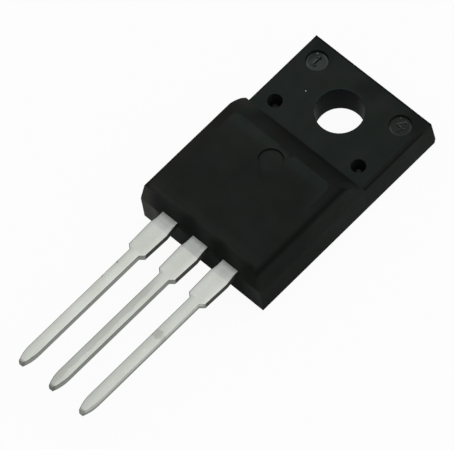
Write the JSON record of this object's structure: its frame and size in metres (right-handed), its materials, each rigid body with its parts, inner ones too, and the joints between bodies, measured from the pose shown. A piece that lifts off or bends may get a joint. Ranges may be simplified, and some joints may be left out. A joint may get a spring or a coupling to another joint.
{
  "type": "voltage regulator",
  "caption": "Linear voltage regulator in a fully moulded black epoxy package, with a mounting hole through its flat tab and straight tinned leads.",
  "frame": {"origin": "centre of the mounting hole on the flat back face", "axes": "+X across the package, +Y towards the end of the tab, +Z out of the front face; the leads run along -Y"},
  "size_m": [0.0102, 0.0295, 0.0045],
  "materials": {
    "epoxy": "semi-matt black moulding epoxy",
    "tinned_copper": "matt tin plate on copper alloy",
    "solder": "soft solder",
    "silicon": "polished silicon",
    "bond_wire": "bare aluminium wire"
  },
  "bodies": {
    "root": {"moulded_body": "epoxy", "lead_input": "tinned_copper", "lead_ground": "tinned_copper", "lead_output": "tinned_copper", "die_attach": "solder", "silicon_die": "silicon", "bond_wire_input": "bond_wire", "bond_wire_ground": "bond_wire", "bond_wire_output": "bond_wire"}
  },
  "joints": []
}
